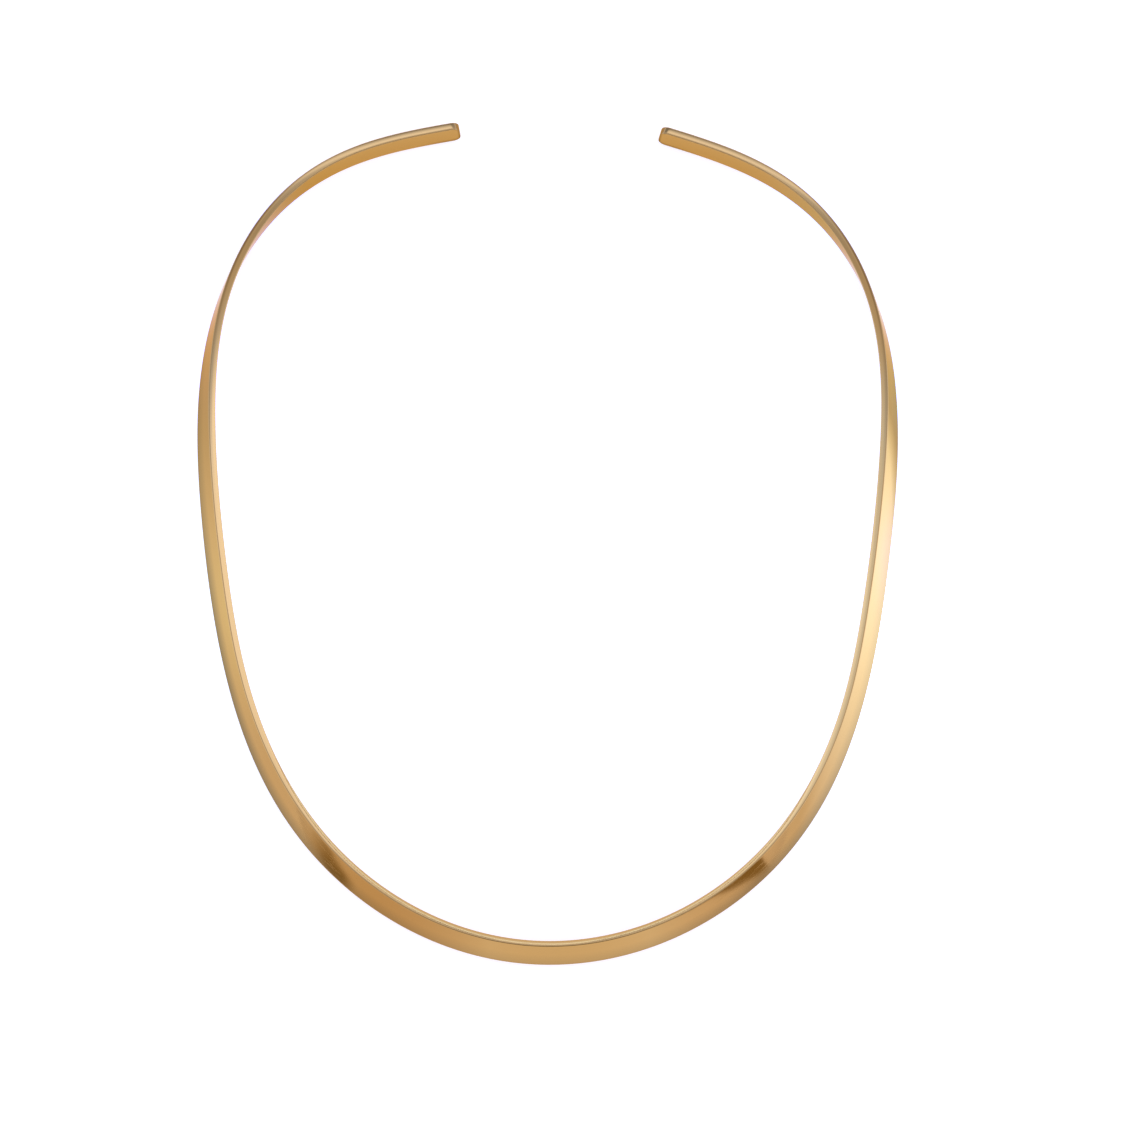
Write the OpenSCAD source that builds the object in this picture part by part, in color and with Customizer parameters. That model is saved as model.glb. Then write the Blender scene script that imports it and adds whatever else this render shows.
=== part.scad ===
// Open neck wire: one flat bar of gold, bent the easy way into an egg-shaped loop.
// It lies on its lower edge, as on a table: the front bow is at -Y, the gap for the nape
// at +Y, and +X is to the right. The origin is under the middle of the loop, on the table.

/* [Bar] */
// Length of the bar from tip to tip, along its middle
bar_length = 406; // [380:2:440]
// Width of the bar, across its wide face
bar_width = 4.8; // [3.6:0.2:7]
// Thickness of the bar
bar_thickness = 1.4; // [1.2:0.1:2]
// Rounding along the four long edges
edge_round = 0.2; // [0.05:0.05:0.4]
// Rounding of the corners of the square-cut ends
end_round = 1.5; // [0.3:0.1:1.7]

/* [Lean] */
// Lean of the wide face at the middle of the bow, where it lies on the chest, in degrees
bow_lean = 51; // [30:1:60]
// Lean of the wide face at the two ends, behind the neck, in degrees
nape_lean = -21; // [-30:1:0]

/* [Fineness] */
// Steps along the bar between the rounded ends
bar_steps = 192; // [96:8:300]
// Steps round each long edge
edge_steps = 3; // [2:1:4]
// Steps round each corner of the ends
end_steps = 6; // [3:1:8]

/* [Hidden] */

// Bend chart: a row for each eighth of half the bar, from the middle of the bow to the tip.
// LEFT and RIGHT are the bend radii there in millimetres, for a bar of CHART_LENGTH.
// TWIST goes from 1, where the face leans as at the middle of the bow, to 0 at the tip.
CHART_LENGTH = 406;
LEFT = 0;
RIGHT = 1;
TWIST = 2;
BEND_CHART = [
    // left, right, twist
    [51.5, 51.5, 1.00],
    [57, 56, 0.99],
    [61, 56, 0.94],
    [101, 87, 0.82],
    [290, 320, 0.81],
    [110, 137, 0.70],
    [46, 47, 0.37],
    [39, 41.5, 0.06],
    [800, 900, 0.00],
];

size = bar_length / CHART_LENGTH;
last = len(BEND_CHART) - 1;
both_ways = [for (i = [-last:last]) i];

// The chart laid out from the left tip to the right tip: bend is 1 / radius, lean is in degrees
bend = [for (i = both_ways) 1 / (size * BEND_CHART[abs(i)][i < 0 ? LEFT : RIGHT])];
lean = [for (i = both_ways) nape_lean + (bow_lean - nape_lean) * BEND_CHART[abs(i)][TWIST]];

// Value of a column at distance s from the left tip, on a smooth curve through its rows
function along(column, s) =
    let (
        rows = len(column) - 1,
        place = min(max(s / bar_length * rows, 0), rows),
        i = min(floor(place), rows - 1),
        f = place - i,
        a = column[max(i - 1, 0)],
        b = column[i],
        c = column[i + 1],
        d = column[min(i + 2, rows)]
    )
    b + f / 2 * (c - a + f * (2 * a - 5 * b + 4 * c - d + f * (3 * (b - c) + d - a)));

// Places of the rings along the bar: close together in the rounded ends, even between them
end_places = [for (i = [0:end_steps - 1]) end_round * (1 - cos(90 * i / end_steps))];
bar_places = [for (i = [0:bar_steps]) end_round + (bar_length - 2 * end_round) * i / bar_steps];
places = concat(
    end_places,
    bar_places,
    [for (i = [end_steps - 1:-1:0]) bar_length - end_places[i]]
);

// Walk along the bar from the left tip: each step is [x, y, heading]
function step(from, s, next_s) =
    let (
        turn = along(bend, (s + next_s) / 2) * (next_s - s) * 180 / PI,
        way = from.z + turn / 2
    )
    [
        from.x + (next_s - s) * cos(way),
        from.y + (next_s - s) * sin(way),
        from.z + turn
    ];
walk = [
    for (
        i = 0, at = [0, 0, 0];
        i < len(places);
        at = i + 1 < len(places) ? step(at, places[i], places[i + 1]) : at,
        i = i + 1
    )
    at
];

// Half a width that is rounded off towards the tip, d from the tip
function rounded_off(half, round, d) =
    d < round ? half - round + sqrt(round * round - (round - d) * (round - d)) : half;

// Section of the bar, d from the tip: [out through the thickness, up the width]
function section(d) =
    let (
        half_t = rounded_off(bar_thickness / 2, edge_round, d),
        half_w = rounded_off(bar_width / 2, end_round, d),
        r = min(edge_round, half_t, half_w)
    )
    [
        for (corner = [[1, 1, 0], [-1, 1, 90], [-1, -1, 180], [1, -1, 270]], j = [0:edge_steps])
        let (a = corner.z + 90 * j / edge_steps)
        [corner.x * (half_t - r) + r * cos(a), corner.y * (half_w - r) + r * sin(a)]
    ];

// A section point's own height when the wide face leans by a degrees
function raised(p, a) = p.x * sin(a) + p.y * cos(a);

// Ring i: its section, leaning out of the loop, with the bar's lower edge on the table
function ring(i) =
    let (
        s = places[i],
        a = along(lean, s),
        at = walk[i],
        out = [sin(at.z), -cos(at.z)],
        seat = -min([for (p = section(bar_length)) raised(p, a)])
    )
    [
        for (p = section(min(s, bar_length - s)))
        let (reach = p.x * cos(a) - p.y * sin(a))
        [at.x + reach * out.x, at.y + reach * out.y, seat + raised(p, a)]
    ];

module neck_wire() {
    rings = [for (i = [0:len(places) - 1]) each ring(i)];
    side = 4 * (edge_steps + 1);
    end_ring = side * (len(places) - 1);
    tips = [walk[len(walk) - 1].x - walk[0].x, walk[len(walk) - 1].y - walk[0].y];
    skew = atan2(tips.y, tips.x);
    // Turned so that the line between the tips runs along X
    level = [
        for (p = rings)
        [p.x * cos(skew) + p.y * sin(skew), p.y * cos(skew) - p.x * sin(skew), p.z]
    ];
    xs = [for (p = level) p.x];
    ys = [for (p = level) p.y];
    middle = [min(xs) + max(xs), min(ys) + max(ys)] / 2;
    walls = [
        for (i = [0:len(places) - 2], j = [0:side - 1])
        let (a = i * side + j, b = i * side + (j + 1) % side)
        each [[a, b, b + side], [a, b + side, a + side]]
    ];
    left_cut = [for (j = [side - 1:-1:0]) j];
    right_cut = [for (j = [0:side - 1]) end_ring + j];
    color("goldenrod")
    translate([-middle.x, -middle.y, 0])
    polyhedron(points = level, faces = concat(walls, [left_cut, right_cut]), convexity = 6);
}

neck_wire();
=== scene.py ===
import math

import bpy
from mathutils import Matrix, Vector


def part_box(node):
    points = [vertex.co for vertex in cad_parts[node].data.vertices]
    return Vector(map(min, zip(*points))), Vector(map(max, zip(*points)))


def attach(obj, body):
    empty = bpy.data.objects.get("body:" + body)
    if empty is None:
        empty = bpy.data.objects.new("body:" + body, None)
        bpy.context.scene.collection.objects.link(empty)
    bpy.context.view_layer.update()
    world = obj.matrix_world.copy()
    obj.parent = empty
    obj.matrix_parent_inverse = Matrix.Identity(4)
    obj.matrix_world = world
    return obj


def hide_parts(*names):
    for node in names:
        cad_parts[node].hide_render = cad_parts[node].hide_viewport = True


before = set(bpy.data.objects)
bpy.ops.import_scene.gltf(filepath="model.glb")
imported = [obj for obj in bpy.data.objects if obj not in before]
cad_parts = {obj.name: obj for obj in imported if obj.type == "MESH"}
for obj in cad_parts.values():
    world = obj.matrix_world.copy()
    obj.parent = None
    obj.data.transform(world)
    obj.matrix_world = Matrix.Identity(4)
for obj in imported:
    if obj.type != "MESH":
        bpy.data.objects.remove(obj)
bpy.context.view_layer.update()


# The neck wire is one flat bar of yellow gold. It is drawn to a rounded section, cut off square, its
# four corners filed round, and bent the easy way by hand over a former, so its halves differ a little.
# It flares out where it lies on the chest and leans in behind the neck. Nothing is joined to it.
MM = 0.001
bar_length = 406 * MM
bar_width = 4.8 * MM
bar_thickness = 1.4 * MM
edge_round = 0.2 * MM
end_round = 1.5 * MM
face_crown = 0.018 * MM
edge_crown = 0.02 * MM
bow_lean = math.radians(51)
nape_lean = math.radians(-21)

# A row for each eighth of half the bar, from the middle of the bow to the tip: the bend radius of the
# left and of the right half in millimetres, and twist, from 1 for the lean of the bow to 0 at the tip.
bend_chart = [
    # left, right, twist
    (51.5, 51.5, 1.00),
    (57, 56, 0.99),
    (61, 56, 0.94),
    (101, 87, 0.82),
    (290, 320, 0.81),
    (110, 137, 0.70),
    (46, 47, 0.37),
    (39, 41.5, 0.06),
    (800, 900, 0.00),
]
left_radii, right_radii, twists = (list(column) for column in zip(*bend_chart))
bends = [1 / (radius * MM) for radius in left_radii[:0:-1] + right_radii]
leans = [nape_lean + (bow_lean - nape_lean) * twist for twist in twists[:0:-1] + twists]


def read_chart(column, distance):
    """The chart's value at a distance from the left tip, on a smooth curve through its rows."""
    rows = len(column) - 1
    place = min(max(distance / bar_length * rows, 0), rows)
    row = min(int(place), rows - 1)
    share = place - row
    before, here = column[max(row - 1, 0)], column[row]
    after, beyond = column[row + 1], column[min(row + 2, rows)]
    cubic = 3 * (here - after) + beyond - before
    square = 2 * before - 5 * here + 4 * after - beyond
    return here + share / 2 * (after - before + share * (square + share * cubic))


def bend_bar(bar_steps=576, end_steps=10):
    """The bar's middle line on the table, bent step by step from the left tip: points and leans."""
    round_in = [end_round * (1 - math.cos(math.pi / 2 * i / end_steps)) for i in range(end_steps)]
    straight = bar_length - 2 * end_round
    places = [end_round + straight * i / bar_steps for i in range(bar_steps + 1)]
    places = round_in + places + [bar_length - place for place in reversed(round_in)]
    points = []
    turned = []
    at = Vector((0, 0, 0))
    heading = 0
    for place, next_place in zip(places, places[1:] + places[-1:]):
        lean = read_chart(leans, place)
        half_height = (bar_width / 2 - edge_round) * math.cos(lean) + edge_round
        half_height += (bar_thickness / 2 - edge_round) * abs(math.sin(lean))
        points.append(Vector((at.x, at.y, half_height)))
        turned.append(lean)
        step = next_place - place
        turn = read_chart(bends, (place + next_place) / 2) * step
        at.x += step * math.cos(heading + turn / 2)
        at.y += step * math.sin(heading + turn / 2)
        heading += turn
    between_tips = points[-1] - points[0]
    level = Matrix.Rotation(-math.atan2(between_tips.y, between_tips.x), 4, "Z")
    return [level @ point for point in points], turned


class Flow:
    """What flows out of a node. Sums with it add Math nodes, and node() adds any other kind of node."""

    def __init__(self, tree, socket=None):
        self.tree = tree
        self.socket = socket

    def node(self, kind, settings=None, inputs=None, output=None):
        made = self.tree.nodes.new(kind)
        for name, value in (settings or {}).items():
            if name == "stops":
                while len(made.color_ramp.elements) < len(value):
                    made.color_ramp.elements.new(1)
                for stop, (position, color) in zip(made.color_ramp.elements, value):
                    stop.position = position
                    stop.color = color
            else:
                setattr(made, name, value)
        sockets = {socket.identifier: socket for socket in made.inputs}
        for name, value in (inputs or {}).items():
            if isinstance(value, Flow):
                self.tree.links.new(value.socket, sockets[name])
            else:
                sockets[name].default_value = value
        outputs = {socket.identifier: socket for socket in made.outputs if socket.enabled}
        return Flow(self.tree, outputs[output] if output else next(iter(outputs.values()), None))

    def maths(self, operation, *values):
        inputs = dict(zip(("Value", "Value_001", "Value_002"), values))
        return self.node("ShaderNodeMath", {"operation": operation}, inputs)

    def __add__(self, other):
        return self.maths("ADD", self, other)

    def __radd__(self, other):
        return self.maths("ADD", other, self)

    def __sub__(self, other):
        return self.maths("SUBTRACT", self, other)

    def __rsub__(self, other):
        return self.maths("SUBTRACT", other, self)

    def __mul__(self, other):
        return self.maths("MULTIPLY", self, other)

    def __truediv__(self, other):
        return self.maths("DIVIDE", self, other)

    def kept_between(self, low, high):
        return self.maths("MINIMUM", self.maths("MAXIMUM", self, low), high)

    def ramp(self, start, end):
        """0 at the start, 1 at the end and even between them. The end may be the lower of the two."""
        return ((self - start) / (end - start)).kept_between(0, 1)

    def vectors(self, operation, *values):
        inputs = dict(zip(("Vector", "Vector_001"), values))
        return self.node("ShaderNodeVectorMath", {"operation": operation}, inputs)

    def times(self, number):
        """A vector made longer by a number."""
        inputs = {"Vector": self, "Scale": number}
        return self.node("ShaderNodeVectorMath", {"operation": "SCALE"}, inputs)

    def part(self, axis):
        """A vector's number along X, Y or Z."""
        return self.node("ShaderNodeSeparateXYZ", {}, {"Vector": self}, axis)


# The bar is drawn before it is bent: the section below is what the last drawplate leaves.
tree = bpy.data.node_groups.new("drawn_and_bent_bar", "GeometryNodeTree")
bench = Flow(tree)
route_input = tree.interface.new_socket("Route", in_out="INPUT", socket_type="NodeSocketGeometry")
finished_bar = tree.interface.new_socket("Bar", in_out="OUTPUT", socket_type="NodeSocketGeometry")
sizes = {
    "Width": bar_width,
    "Thickness": bar_thickness,
    "Edge Round": edge_round,
    "End Round": end_round,
    "Face Crown": face_crown,
    "Edge Crown": edge_crown,
}
size_inputs = {}
for name in sizes:
    size_inputs[name] = tree.interface.new_socket(name, in_out="INPUT", socket_type="NodeSocketFloat")


def size(name):
    """One of the bar's sizes, as it is given to the node tree."""
    return bench.node("NodeGroupInput", output=size_inputs[name].identifier)


# Section: a rectangle with rounded long edges. Points gather towards the edges, and each face is
# crowned by a few hundredths of a millimetre, as drawing and buffing leave it.
corner_points = 6
face_cuts = 9
half_a_point = 0.5
sheet = bench.node(
    "GeometryNodeCurvePrimitiveQuadrilateral",
    {"mode": "RECTANGLE"},
    {"Width": size("Thickness"), "Height": size("Width")},
)
rounded = bench.node(
    "GeometryNodeFilletCurve",
    {"mode": "POLY"},
    {"Curve": sheet, "Count": corner_points, "Radius": size("Edge Round")},
)
point_of_corner = bench.maths("MODULO", bench.node("GeometryNodeInputIndex"), corner_points + 1)
before_face = bench.maths("COMPARE", point_of_corner, corner_points, half_a_point)
divided = bench.node("GeometryNodeSubdivideCurve", {}, {"Curve": rounded, "Cuts": before_face * face_cuts})
section_place = bench.node("GeometryNodeInputPosition")
section_out = section_place.part("X")
section_up = section_place.part("Y")
flat_out = size("Thickness") / 2 - size("Edge Round")
flat_up = size("Width") / 2 - size("Edge Round")
share_out = (section_out / flat_out).kept_between(-1, 1)
share_up = (section_up / flat_up).kept_between(-1, 1)
spread_out = bench.maths("SINE", share_out * (math.pi / 2))
spread_up = bench.maths("SINE", share_up * (math.pi / 2))
swell_out = bench.maths("SIGN", section_out) * size("Face Crown") * (1 - spread_up * spread_up)
swell_up = bench.maths("SIGN", section_up) * size("Edge Crown") * (1 - spread_out * spread_out)
crowned = bench.node("ShaderNodeCombineXYZ", {}, {
    "X": section_out + flat_out * (spread_out - share_out) + swell_out,
    "Y": section_up + flat_up * (spread_up - share_up) + swell_up,
})
section = bench.node("GeometryNodeStoreNamedAttribute", {"data_type": "FLOAT_VECTOR"}, {
    "Geometry": divided,
    "Name": "section",
    "Value": crowned,
})


def mark(name, kind="FLOAT_VECTOR"):
    """What is marked under this name, on the route or on the section."""
    return bench.node("GeometryNodeInputNamedAttribute", {"data_type": kind}, {"Name": name}, "Attribute")


# Route: the bent middle line, with the direction out of the loop turned by the lean of the face
route = bench.node("NodeGroupInput", output=route_input.identifier)
line = bench.node("GeometryNodeMeshToCurve", {}, {"Mesh": route})
upright = bench.node("GeometryNodeSetCurveNormal", {"mode": "Z_UP"}, {"Curve": line})
leaning = bench.node("GeometryNodeSetCurveTilt", {}, {"Curve": upright, "Tilt": 0 - mark("lean", "FLOAT")})
tangent = bench.node("GeometryNodeInputTangent")
normal = bench.node("GeometryNodeInputNormal", output="Normal")
route_marks = {
    "middle": ("FLOAT_VECTOR", bench.node("GeometryNodeInputPosition")),
    "out": ("FLOAT_VECTOR", normal),
    "up": ("FLOAT_VECTOR", bench.vectors("CROSS_PRODUCT", normal, tangent)),
    "along": ("FLOAT", bench.node("GeometryNodeSplineParameter", output="Length")),
}
marked = leaning
for name, (kind, value) in route_marks.items():
    marked = bench.node("GeometryNodeStoreNamedAttribute", {"data_type": kind}, {
        "Geometry": marked,
        "Name": name,
        "Value": value,
    })

# Bar: the section set along the route, drawn in towards each tip so that the four corners are round
swept = bench.node("GeometryNodeCurveToMesh", {}, {
    "Curve": marked,
    "Profile Curve": section,
    "Fill Caps": True,
})
from_tip = bench.maths("MINIMUM", mark("along", "FLOAT"), bar_length - mark("along", "FLOAT"))


def drawn_in(half, rounding):
    """The share of a half width that is left by a round of this radius, at this distance from a tip."""
    short = bench.maths("MAXIMUM", 1 - from_tip / rounding, 0)
    return 1 - rounding / half * (1 - bench.maths("SQRT", 1 - short * short))


at_out = mark("section").part("X") * drawn_in(size("Thickness") / 2, size("Edge Round"))
at_up = mark("section").part("Y") * drawn_in(size("Width") / 2, size("End Round"))
on_section = bench.vectors("ADD", mark("out").times(at_out), mark("up").times(at_up))
bent = bench.node("GeometryNodeSetPosition", {}, {
    "Geometry": swept,
    "Position": bench.vectors("ADD", mark("middle"), on_section),
})
measured = bench.node("GeometryNodeStoreNamedAttribute", {"data_type": "FLOAT_VECTOR"}, {
    "Geometry": bent,
    "Name": "on_bar",
    "Value": bench.node("ShaderNodeCombineXYZ", {}, {
        "X": mark("along", "FLOAT"),
        "Y": at_out,
        "Z": at_up,
    }),
})
cleaned = measured
for name in ("section", "lean", *route_marks):
    cleaned = bench.node("GeometryNodeRemoveAttribute", {}, {"Geometry": cleaned, "Name": name})
smooth = bench.node("GeometryNodeSetShadeSmooth", {}, {"Geometry": cleaned, "Shade Smooth": True})
real = bench.node("GeometryNodeRealizeInstances", {}, {"Geometry": smooth})


# Gold: the buffed skin has long faint swells, lengthwise polishing lines and a few hairline scratches,
# and is a little duller along its edges, where it is handled and worn.
fresh_gold = (0.50, 0.288, 0.096, 1)
paler_gold = (0.48, 0.288, 0.104, 1)
# The next two golds are painted shade: darker golds for the shadow beside and under the bar, which the faces
# mirror.
painted_shade_gold = (0.25, 0.175, 0.08, 1)
deep_painted_shade_gold = (0.24, 0.13, 0.045, 1)
grazing_tint = (1.0, 0.71, 0.39, 1)
best_polish = 0.04
swell_height = 0.02 * MM
line_height = 0.0005 * MM
scratch_depth = 0.0006 * MM
gold = bpy.data.materials.new("buffed_yellow_gold")
gold.use_nodes = True
gold.node_tree.nodes.clear()
skin = Flow(gold.node_tree)
on_bar = skin.node("ShaderNodeAttribute", {"attribute_name": "on_bar"}, output="Vector")
bar_along = on_bar.part("X")
bar_out = on_bar.part("Y")
bar_up = on_bar.part("Z")


def grain(length, across, detail, shift=0):
    """Noise whose grains are this long along the bar and this wide across it."""
    spot = skin.node("ShaderNodeCombineXYZ", {}, {
        "X": bar_along / length + shift,
        "Y": bar_out / across,
        "Z": bar_up / across,
    })
    return skin.node(
        "ShaderNodeTexNoise",
        {"noise_dimensions": "3D"},
        {"Vector": spot, "Scale": 1.0, "Detail": detail, "Roughness": 0.5},
        "Fac",
    )


mid_grain = 0.5
scratch_from = 0.74
scratch_full = scratch_from + 1 / 12
wear_falloff = 12
half_width = bar_width / 2
swells = grain(14 * MM, 7 * MM, detail=1.0) - mid_grain
brush_lines = grain(9 * MM, 0.12 * MM, detail=3.0) - mid_grain
clouds = grain(22 * MM, 9 * MM, detail=3.0, shift=40)
hairlines = grain(5 * MM, 0.05 * MM, detail=0.0, shift=9).ramp(scratch_from, scratch_full)
edge_near = skin.maths("ABSOLUTE", bar_up).ramp(0, half_width)
edge_wear = skin.maths("POWER", edge_near, wear_falloff)


def stretch(middle, reach):
    """From 0 to 1: a soft stretch of the bar about a place on it, in millimetres from the left tip."""
    off = (bar_along - middle * MM) / (reach * MM)
    return skin.maths("EXPONENT", 0 - off * off)


# Where it rubs on the clothes, the outer face is a little rougher towards the lower edge, and it is painted
# darker there: painted shade, for the shadow beside the bar that this part of the face mirrors. Behind the
# neck the whole outer face and the inner face of the two turns are rougher and painted darker in the same
# way, and the outer arris along the top is painted brown: painted shade as well.
outer_face = bar_out.ramp(0, 0.2 * MM)
lower_part = bar_up.ramp(0.1 * half_width, -0.9 * half_width)
rubbed_and_shaded = 0.3 + stretch(127, 40) * 0.8 + stretch(254, 22) * 0.5
neck_face_rub_and_shade = stretch(71, 17) * 0.45 + stretch(337, 12) * 0.4
neck_turns_rub_and_shade = (stretch(37, 9) + stretch(370, 10)) * 0.4
# This share darkens the colour, which is painted shade, and roughens the face a little.
dull_and_painted_shade = outer_face * (lower_part * rubbed_and_shaded + neck_face_rub_and_shade) + (1 - outer_face) * neck_turns_rub_and_shade
upper_edge = bar_up.ramp(half_width - 0.3 * MM, half_width - 0.2 * MM)
outer_arris = upper_edge * bar_out.ramp(0.2 * MM, 0.4 * MM)
# Painted shade along the outer arris behind the neck, in the darkest gold.
arris_painted_shade = outer_arris * (stretch(42, 17) + stretch(364, 17))

# The rims of the two filed ends and the lower edge next to them are painted dark brown: painted shade,
# standing for the shadow under the bar that these edges mirror. The arris between the upper edge and the
# inner face is worn soft there.
to_tip = skin.maths("MINIMUM", bar_along, bar_length - bar_along)
cut_back = skin.maths("MAXIMUM", end_round - to_tip, 0)
half_width_here = skin.maths("SQRT", end_round ** 2 - cut_back * cut_back) + (half_width - end_round)
past_rim = skin.maths("ABSOLUTE", bar_up) - half_width_here
rounded_end = to_tip.ramp(end_round - 0.2 * MM, end_round - 0.7 * MM)
end_rim = past_rim.ramp(-0.45 * MM, -0.05 * MM) * rounded_end
cut_face = to_tip.ramp(0.5 * MM, 0.2 * MM)
lower_rim = (bar_up + half_width_here).ramp(1.1 * MM, 0.1 * MM) * to_tip.ramp(8 * MM, 3 * MM)
# Painted shade on the rims of the ends and on the lower edge next to them.
end_painted_shade = skin.maths("MAXIMUM", end_rim, cut_face) * 0.7 + lower_rim * 0.8
inner_arris = upper_edge * bar_out.ramp(-0.35 * MM, -0.5 * MM)
soft_arris = inner_arris * to_tip.ramp(45 * MM, 25 * MM)


def toned(share, base, tone):
    """A colour that goes over into a tone by this share."""
    inputs = {"Factor_Float": share.kept_between(0, 1), "A_Color": base, "B_Color": tone}
    return skin.node("ShaderNodeMix", {"data_type": "RGBA"}, inputs, "Result_Color")


skin_color = toned(clouds, fresh_gold, paler_gold)
# Painted shade: the gold is darkened where its faces mirror the shadow beside and under the bar.
skin_color = toned(dull_and_painted_shade, skin_color, painted_shade_gold)
skin_color = toned(arris_painted_shade + end_painted_shade, skin_color, deep_painted_shade_gold)
lost_polish = clouds * 0.04 + edge_wear * 0.05 + dull_and_painted_shade * 0.05 + hairlines * 0.12 + soft_arris * 0.3
relief = swells * swell_height + brush_lines * line_height - hairlines * scratch_depth
metal = skin.node("ShaderNodeBsdfPrincipled", {}, {
    "Base Color": skin_color,
    "Metallic": 1.0,
    "Specular Tint": grazing_tint,
    "Roughness": lost_polish + best_polish,
    "Normal": skin.node("ShaderNodeBump", {}, {"Strength": 1.0, "Distance": 1.0, "Height": relief}),
})
skin.node("ShaderNodeOutputMaterial", {}, {"Surface": metal})

# The bar is bent to the route, its material is put on, and the modifier is made into a plain mesh
coated = bench.node("GeometryNodeSetMaterial", {}, {"Geometry": real, "Material": gold})
bench.node("NodeGroupOutput", {}, {finished_bar.identifier: coated})

points, leans_along = bend_bar()
wire_route = bpy.data.meshes.new("neck_wire_route")
wire_route.from_pydata(points, [(i, i + 1) for i in range(len(points) - 1)], [])
lean_marks = wire_route.attributes.new("lean", "FLOAT", "POINT")
lean_marks.data.foreach_set("value", leans_along)
neck_wire = bpy.data.objects.new("gold_neck_wire", wire_route)
bpy.context.collection.objects.link(neck_wire)
bending = neck_wire.modifiers.new("bending", "NODES")
bending.node_group = tree
for name, value in sizes.items():
    bending[size_inputs[name].identifier] = value

seen = neck_wire.evaluated_get(bpy.context.evaluated_depsgraph_get())
bent_mesh = bpy.data.meshes.new_from_object(seen)
neck_wire.modifiers.remove(bending)
neck_wire.data = bent_mesh

# It lies on the table, over the middle of the box that the frame gives it
low = Vector([min(vertex.co[i] for vertex in bent_mesh.vertices) for i in range(3)])
high = Vector([max(vertex.co[i] for vertex in bent_mesh.vertices) for i in range(3)])
cad_low, cad_high = (Vector(corner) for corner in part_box("neck_wire"))
to_place = (cad_low + cad_high - low - high) / 2
to_place.z = -low.z
bent_mesh.transform(Matrix.Translation(to_place))
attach(neck_wire, "root")
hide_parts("neck_wire")


# Floor: a wide sheet of matt white board under the neck wire, glowing evenly, with pools of coloured
# light painted into its glow. From above it is plain white all over. Only the gold, which mirrors it at a
# slant, shows their colours.
floor_reach = 6.0
board_white = (0.67, 0.64, 0.68)
board_tone = (0.5, 0.45, 0.37, 1)
floor_corners = [(-1, -1), (1, -1), (1, 1), (-1, 1)]
floor_mesh = bpy.data.meshes.new("white_board")
floor_mesh.from_pydata([(x * floor_reach, y * floor_reach, 0) for x, y in floor_corners], [], [(0, 1, 2, 3)])
floor = bpy.data.objects.new("white_board", floor_mesh)
bpy.context.collection.objects.link(floor)
board = bpy.data.materials.new("matt_white_board")
board.use_nodes = True
board.node_tree.nodes.clear()
paper = Flow(board.node_tree)
on_board = paper.node("ShaderNodeTexCoord", output="Object")
board_x = on_board.part("X")
board_y = on_board.part("Y")


def painted_light_pool(x, y, reach_x, reach_y):
    """A painted pool of light, glowing in the board's material: its middle and its reach on the board, in
    millimetres.
    """
    off_x = (board_x - x * MM) / (reach_x * MM)
    off_y = (board_y - y * MM) / (reach_y * MM)
    return paper.maths("EXPONENT", 0 - (off_x * off_x + off_y * off_y))


# Three wide pools of light are painted inside the loop and to its left and right. The small ones are painted
# close to the bar: under its two turns behind the neck, and beside its sides.
painted_pools = {
    # x, y, reach in x and in y, then colour
    "inside": (2, 0, 48, 34, (0.8, 1.7, 3.7)),
    "left": (-73, -16, 10, 17, (0.2, 0.35, 0.35)),
    "right": (76, -3, 34, 41, (1.05, 1.65, 3.4)),
    "left turn": (-49, 57.5, 6, 6, (0, 0.08, 1.0)),
    "right turn": (46.5, 58.5, 9, 9, (0.05, 0.22, 1.1)),
    "left side": (-64, 33, 8, 9, (0.1, 0.1, 1.0)),
    "right side, towards the neck": (63.5, 28, 3.5, 8, (0, 0.25, 1.4)),
    "right side, middle": (66, 0, 6, 9, (0, 0, 1.5)),
}

# A painted shadow with a straight edge, a little aslant, cuts off the right pool of light towards the bar
shadow_edge_slant = 0.2
out_of_painted_shadow = (board_x - board_y * shadow_edge_slant).ramp(60.9 * MM, 64.4 * MM)
board_glow = board_white
for name, (x, y, reach_x, reach_y, color) in painted_pools.items():
    strength = painted_light_pool(x, y, reach_x, reach_y)
    if name == "right":
        strength = strength * out_of_painted_shadow
    inputs = {"Factor_Float": strength, "A_Color": (0, 0, 0, 1), "B_Color": (*color, 1)}
    painted_pool_light = paper.node("ShaderNodeMix", {"data_type": "RGBA"}, inputs, "Result_Color")
    board_glow = paper.vectors("ADD", board_glow, painted_pool_light)

lit_board = paper.node("ShaderNodeBsdfPrincipled", {}, {
    "Base Color": board_tone,
    "Roughness": 0.9,
    "Specular IOR Level": 0.1,
    "Emission Color": board_glow,
    "Emission Strength": 1.0,
})
paper.node("ShaderNodeOutputMaterial", {}, {"Surface": lit_board})
floor_mesh.materials.append(board)


# Light: a white tent. Its left and right walls glow like softboxes. Its back wall has a dark band from
# 11 to 36 degrees up, its front wall is dark from 17 degrees up, and overhead it is dimmer.
tent = bpy.data.worlds.new("white_tent")
tent.use_nodes = True
tent.node_tree.nodes.clear()
sky = Flow(tent.node_tree)
look = sky.node("ShaderNodeTexCoord", output="Generated")
look_x = look.part("X")
look_y = look.part("Y")
look_z = look.part("Z")

# The colours of a wall are given as shares of this radiance, because they can't go past 1
brightest = 5.0
overhead = (0.83 / brightest, 0.86 / brightest, 1.05 / brightest, 1)


def tent_wall(tint, *levels):
    """How one side of the tent glows, from the horizon up: elevation in degrees, then radiance."""
    stops = [(1, overhead)]
    for elevation, radiance in levels:
        share = [radiance / brightest * channel for channel in tint]
        stops.insert(-1, (math.sin(math.radians(elevation)), (*share, 1)))
    return sky.node("ShaderNodeValToRGB", {"stops": stops}, {"Fac": look_z}, "Color")


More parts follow.
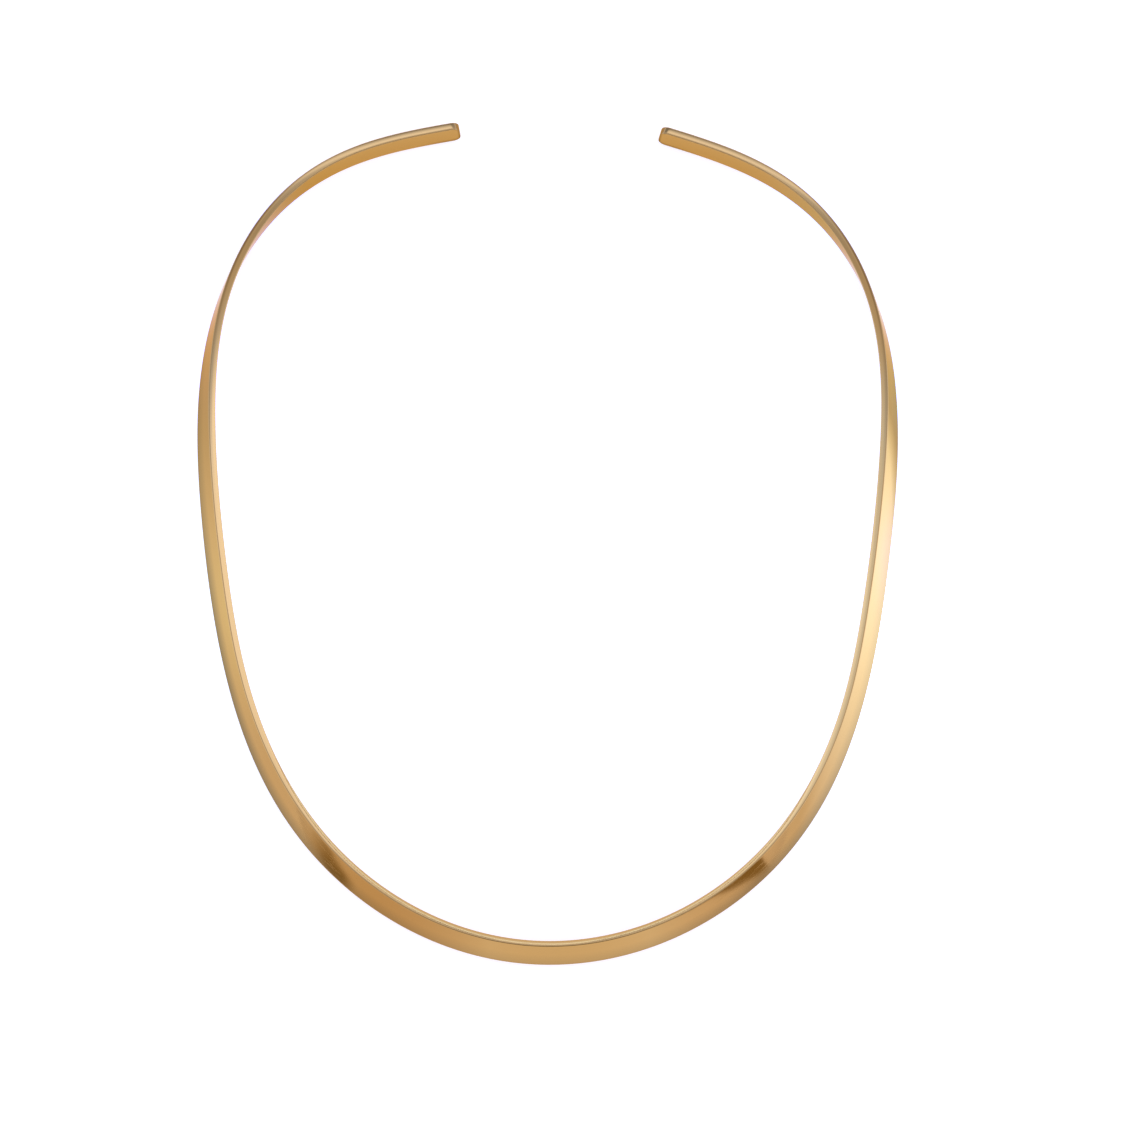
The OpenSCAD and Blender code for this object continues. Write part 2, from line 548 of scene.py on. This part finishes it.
cool = (0.86, 1.02, 1.6)
cooler = (0.8, 1.02, 1.7)
neutral = (1.0, 1.0, 1.08)
right_wall = tent_wall(cool, (0, 1.5), (3, 2.1), (12, 2.15), (32, 2.1), (46, 1.5), (60, 1.1))
left_wall = tent_wall(cooler, (0, 1.5), (3, 2.4), (9, 2.3), (14, 1.95), (18, 1.9), (22, 1.5), (34, 1.4))
back_wall = tent_wall(cool, (0, 1.8), (7, 1.5), (11, 0.4), (36, 0.45), (43, 1.5), (50, 2.1), (59, 1.2))
front_wall = tent_wall(neutral, (0, 1.0), (6, 1.22), (14.5, 1.22), (17, 0.25), (50, 0.2), (70, 0.6))


def blend(share, one, other, way="MIX"):
    """One colour where the share is 0, and the other, or the two multiplied, where it is 1."""
    inputs = {"Factor_Float": share, "A_Color": one, "B_Color": other}
    return sky.node("ShaderNodeMix", {"data_type": "RGBA", "blend_type": way}, inputs, "Result_Color")


# The walls run into each other: half of this seam lies on either side of a corner
half_seam = 0.125
least_level = 0.0001
level = sky.maths("SQRT", sky.maths("MAXIMUM", look_x * look_x + look_y * look_y, least_level))
sideways = look_x * look_x / (level * level)
front_and_back = blend(look_y.ramp(-half_seam, half_seam), front_wall, back_wall)
left_and_right = blend(look_x.ramp(-half_seam, half_seam), left_wall, right_wall)
walls = blend(sideways, front_and_back, left_and_right)


def toward(middle, spread):
    """From 0 to 1: how near the look is to an azimuth in degrees, inside a spread."""
    turn = math.radians(middle)
    facing = (look_x * math.cos(turn) + look_y * math.sin(turn)) / level
    return facing.ramp(math.cos(math.radians(spread)), 1)


def between(value, low, high, soft):
    """From 0 to 1 inside a band of values, with soft sides."""
    return sky.maths("MINIMUM", (value - low) / soft, (high - value) / soft).kept_between(0, 1)


# A dark thing stands at the horizon to the left of the front, and another one, higher, to its right,
# with a slanting lower side. The tent around them lies in their shade. All angles are in degrees.
thing_color = (0.40 / brightest, 0.29 / brightest, 0.12 / brightest, 1)
shade_color = (0.7, 0.53, 0.33, 1)
right_shade_share = 0.65
slant = 0.52
slant_foot = -44.2
side_lean = 0.2
degree = math.radians(1)
azimuth = sky.maths("ARCTAN2", look_y, look_x) / degree
elevation = look_z / degree
left_sides = azimuth.ramp(-140.5, -134.5) * azimuth.ramp(-127.5, -130.5)
left_thing = left_sides * between(elevation, 0.5, 4.7, 1.2)
right_sides = between(azimuth + elevation * side_lean, -75, -44, 0.5)
above_slant = (elevation + (azimuth - slant_foot) * slant).ramp(0.05, 0.55)
right_thing = right_sides * between(elevation, -1, 14, 3) * above_slant
left_shade = toward(-129, 28) * between(elevation, -1.5, 12, 1.5)
right_shade = toward(-48, 22) * between(elevation, -1.5, 14, 1.5) * right_shade_share
shaded = blend((left_shade + right_shade).kept_between(0, 1), walls, shade_color, "MULTIPLY")
with_things = blend(sky.maths("MAXIMUM", left_thing, right_thing), shaded, thing_color)
glow = sky.node("ShaderNodeBackground", {}, {"Color": with_things, "Strength": brightest})
sky.node("ShaderNodeOutputWorld", {}, {"Surface": glow})
bpy.context.scene.world = tent


# Camera: straight above the loop, as the photo was taken, and turned by a degree. Its place, turn and
# lens are fitted so that the loop lies in the picture as it lies in the photo.
camera_place = (4.453 * MM, -4.349 * MM, 902.5 * MM)
camera_turn = math.radians(1.016)
camera_data = bpy.data.cameras.new("overhead")
camera_data.sensor_width = 36
camera_data.lens = 157.89
camera = bpy.data.objects.new("overhead", camera_data)
camera.location = camera_place
camera.rotation_euler = (0, 0, camera_turn)
bpy.context.collection.objects.link(camera)
bpy.context.scene.camera = camera
bpy.context.scene.view_settings.view_transform = "Standard"
